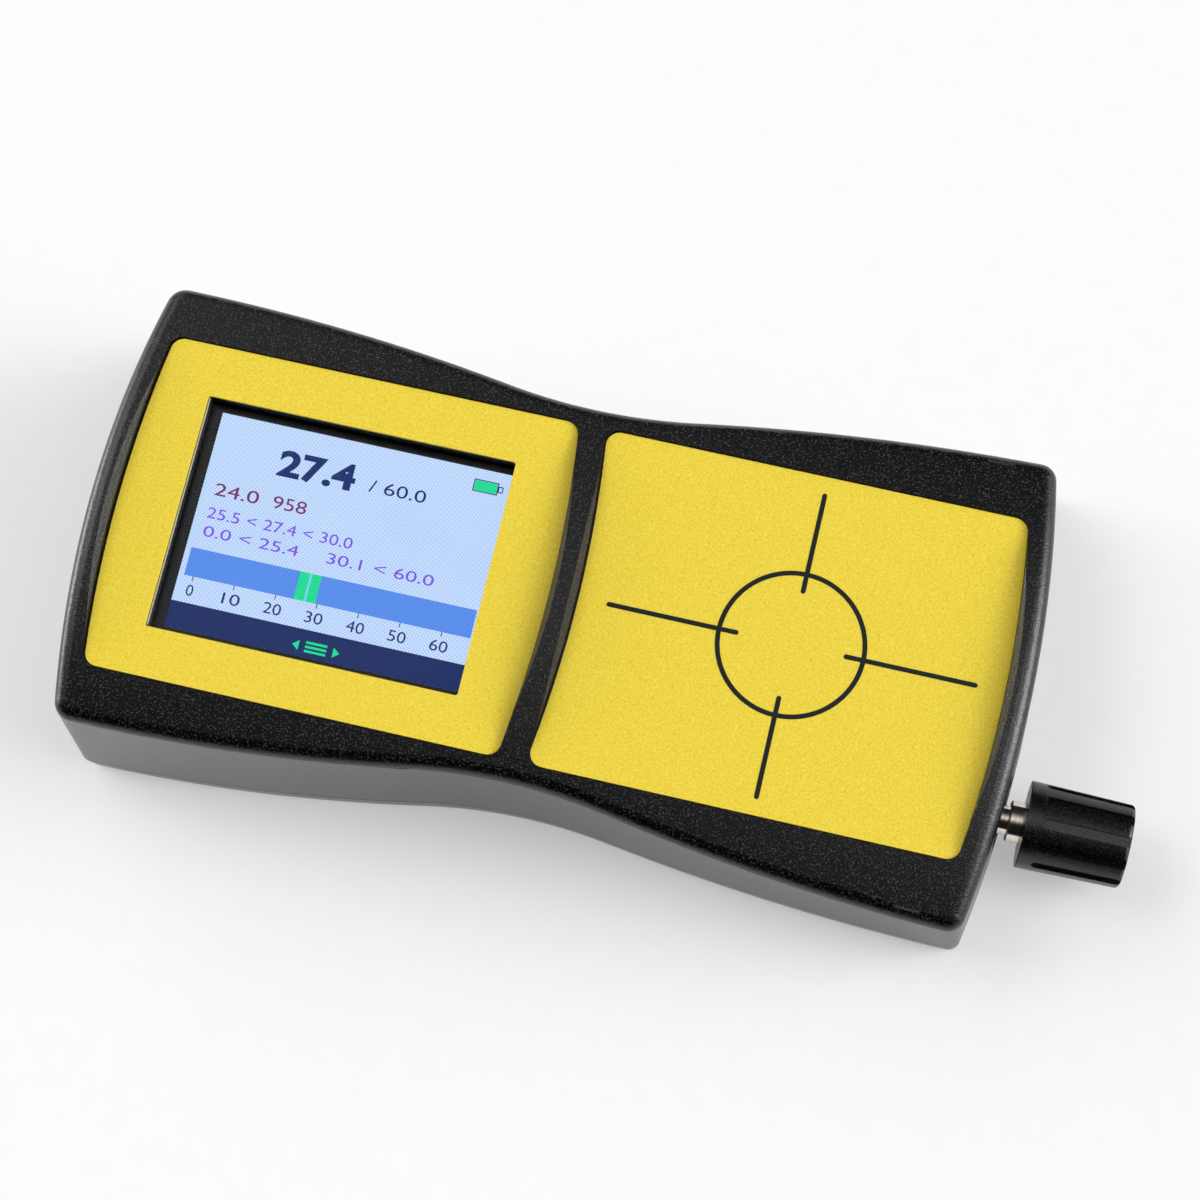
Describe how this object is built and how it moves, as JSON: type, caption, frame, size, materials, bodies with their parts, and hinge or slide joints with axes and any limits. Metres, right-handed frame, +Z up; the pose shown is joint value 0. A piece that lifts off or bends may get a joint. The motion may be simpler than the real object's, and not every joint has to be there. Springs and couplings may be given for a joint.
{
  "type": "electronic gold tester",
  "caption": "Hand-held gold tester: waisted wedge-shaped case with a colour display, a round target over an eddy-current coil, and a knob that turns and pushes.",
  "frame": {"origin": "on the surface it stands on, under the middle of the flat base, halfway between the two ends of the case at the split line", "axes": "+X from the display end to the knob end, +Z up; the top face slopes down 6.6 degrees towards +X"},
  "size_m": [0.1603, 0.0708, 0.0367],
  "materials": {
    "case_black": "fine spark-eroded texture, satin black",
    "panel_black": "fine spark-eroded texture, satin black",
    "label_yellow": "printed polyester with a fine grain, matt",
    "window_clear": "clear acrylic, polished",
    "foam_black": "closed-cell foam",
    "lcd_glass": "display glass, lit",
    "backlight_white": "moulded light guide",
    "tray_steel": "pressed stainless sheet",
    "flex_amber": "polyimide ribbon",
    "connector_ivory": "moulded nylon",
    "board_green": "solder mask over glass laminate",
    "chip_black": "moulded epoxy",
    "can_steel": "drawn can",
    "socket_steel": "nickel-plated shell",
    "ferrite": "sintered ferrite",
    "former_white": "moulded nylon",
    "copper_wire": "enamelled copper",
    "bead_epoxy": "dipped epoxy",
    "encoder_black": "moulded nylon",
    "bushing_zinc": "die-cast and turned",
    "wheel_nylon": "moulded acetal",
    "spring_steel": "rolled strip",
    "shaft_aluminium": "turned, bright",
    "knob_black": "moulded, satin black",
    "cell_foil": "laminated foil pouch",
    "lead_red": "insulated stranded wire",
    "screw_steel": "blackened steel"
  },
  "bodies": {
    "case": {"top_shell": "case_black", "bottom_shell": "case_black", "end_panel": "panel_black", "display_label": "label_yellow", "sensor_label": "label_yellow", "display_window": "window_clear", "window_gasket": "foam_black", "lcd_glass": "lcd_glass", "lcd_backlight": "backlight_white", "lcd_tray": "tray_steel", "lcd_pad": "foam_black", "lcd_flex": "flex_amber", "lcd_connector": "connector_ivory", "main_board": "board_green", "processor_chip": "chip_black", "board_chips": "chip_black", "crystal_can": "can_steel", "charge_socket": "socket_steel", "coil_core": "ferrite", "coil_former": "former_white", "coil_winding": "copper_wire", "coil_leads": "copper_wire", "coil_pad": "foam_black", "temperature_probe": "bead_epoxy", "encoder_housing": "encoder_black", "encoder_bushing": "bushing_zinc", "detent_spring": "spring_steel", "push_dome": "spring_steel", "battery_cell": "cell_foil", "battery_pad": "foam_black", "battery_socket": "connector_ivory", "battery_plug": "connector_ivory", "battery_leads": "lead_red", "case_screws": "screw_steel", "board_screws": "screw_steel"},
    "rotor": {"encoder_rotor": "wheel_nylon"},
    "spindle": {"encoder_shaft": "shaft_aluminium", "control_knob": "knob_black"}
  },
  "joints": [
    {"name": "knob_turn", "type": "hinge", "parent": "case", "child": "rotor", "pos_m": [0.07155, -0.0164, 0.00983], "axis": [0.9934, 0, -0.1149], "continuous": true},
    {"name": "knob_push", "type": "slide", "parent": "rotor", "child": "spindle", "axis": [-0.9934, 0, 0.1149], "range_m": [0, 0.0005], "stiffness_N_per_m": 6000, "springref_m": -0.0002}
  ]
}
